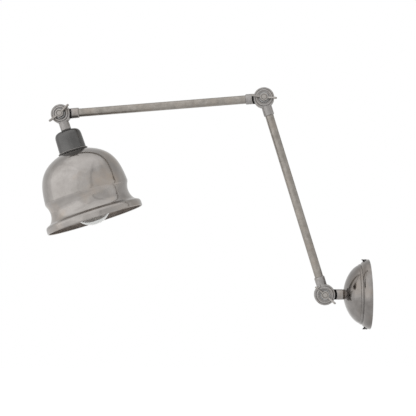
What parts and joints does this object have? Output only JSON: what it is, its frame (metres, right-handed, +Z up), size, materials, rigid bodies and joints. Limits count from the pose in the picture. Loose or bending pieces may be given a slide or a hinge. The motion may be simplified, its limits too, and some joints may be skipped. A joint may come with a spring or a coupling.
{
  "type": "swing arm wall sconce",
  "caption": "Hard-wired wall sconce: domed canopy, jointed tube arms on half-lap knuckles with wing screws, tilting bell shade over a clear bulb.",
  "frame": {"origin": "centre of the canopy's back on the wall plane, midway between the wall bracket's two slots", "axes": "+X points into the wall, the room and the arms are on -X, +Z is up, and the three knuckles turn about lines parallel to Y"},
  "size_m": [0.5043, 0.1536, 0.3741],
  "materials": {
    "cast_nickel": "antique nickel plate on castings, satin, mottled, darker in the recesses",
    "tube_nickel": "antique nickel plate on tube, satin brushed, lightly mottled",
    "wing_nickel": "antique nickel plate, satin, edges rubbed bright",
    "canopy_nickel": "antique nickel plate on spun sheet, soft polish",
    "shade_nickel": "antique nickel plate on spun sheet, soft polish, duller inside",
    "gunmetal": "gunmetal, dark satin",
    "dark_steel": "blackened steel, satin",
    "zinc_steel": "zinc plated steel, dull bright",
    "green_screw": "green dyed screw, satin",
    "brass": "plain brass, satin",
    "cable_jacket": "black flexible jacket, matt",
    "fibre": "red brown vulcanised fibre, matt",
    "porcelain": "white glazed porcelain",
    "bulb_clear_glass": "clear glass",
    "stem_glass": "clear glass",
    "bulb_cap_metal": "bright thin metal cap",
    "black_glass": "opaque black vitrite glass",
    "filament": "yellow phosphor coating on filament rods"
  },
  "bodies": {
    "wall_mount": {"canopy": "canopy_nickel", "wall_bracket": "zinc_steel", "canopy_screws": "dark_steel", "ground_screw": "green_screw", "stem_nipple": "brass", "stem_locknut": "zinc_steel", "stem_lock_washer": "zinc_steel", "stem_collar": "dark_steel", "stem_cable": "cable_jacket", "wall_knuckle": "cast_nickel", "wall_friction_washer": "fibre", "wall_clamp_nut": "zinc_steel"},
    "wall_wing": {"wall_wing_screw": "wing_nickel", "wall_spring_washer": "zinc_steel"},
    "lower_arm": {"lower_arm_foot": "cast_nickel", "lower_arm_tube": "tube_nickel", "lower_arm_head": "cast_nickel", "lower_arm_cable": "cable_jacket"},
    "upper_arm": {"upper_arm_elbow": "cast_nickel", "upper_arm_tube": "tube_nickel", "upper_arm_end": "cast_nickel", "upper_arm_cable": "cable_jacket", "elbow_friction_washer": "fibre", "elbow_clamp_nut": "zinc_steel", "shade_friction_washer": "fibre", "shade_clamp_nut": "zinc_steel"},
    "elbow_wing": {"elbow_wing_screw": "wing_nickel", "elbow_spring_washer": "zinc_steel"},
    "shade_wing": {"shade_wing_screw": "wing_nickel", "shade_spring_washer": "zinc_steel"},
    "shade_head": {"neck_knuckle": "cast_nickel", "neck_nipple": "brass", "neck_locknut": "zinc_steel", "neck_cable": "cable_jacket", "socket_cup": "gunmetal", "lampholder": "porcelain", "socket_shell": "brass", "socket_contact": "brass", "shade_ring": "zinc_steel", "shade": "shade_nickel", "bulb_glass": "bulb_clear_glass", "bulb_base": "bulb_cap_metal", "bulb_insulator": "black_glass", "bulb_contact": "brass", "bulb_stem": "stem_glass", "bulb_filaments": "filament"}
  },
  "joints": [
    {"name": "wall_knuckle_tilt", "type": "hinge", "parent": "wall_mount", "child": "lower_arm", "pos_m": [-0.0684, 0, 0], "axis": [0, -1, 0], "range_deg": [-24, 165]},
    {"name": "elbow_tilt", "type": "hinge", "parent": "lower_arm", "child": "upper_arm", "pos_m": [-0.15804, 0, 0.30458], "axis": [0, -1, 0], "range_deg": [-200, 45]},
    {"name": "shade_tilt", "type": "hinge", "parent": "upper_arm", "child": "shade_head", "pos_m": [-0.47492, 0, 0.28465], "axis": [0, -1, 0], "range_deg": [-228, 20]},
    {"name": "wall_wing_turn", "type": "hinge", "parent": "wall_mount", "child": "wall_wing", "pos_m": [-0.0684, 0, 0], "axis": [0, -1, 0], "range_deg": [0, 180]},
    {"name": "elbow_wing_turn", "type": "hinge", "parent": "upper_arm", "child": "elbow_wing", "pos_m": [-0.15804, 0, 0.30458], "axis": [0, -1, 0], "range_deg": [0, 180]},
    {"name": "shade_wing_turn", "type": "hinge", "parent": "upper_arm", "child": "shade_wing", "pos_m": [-0.47492, 0, 0.28465], "axis": [0, -1, 0], "range_deg": [0, 180]}
  ]
}
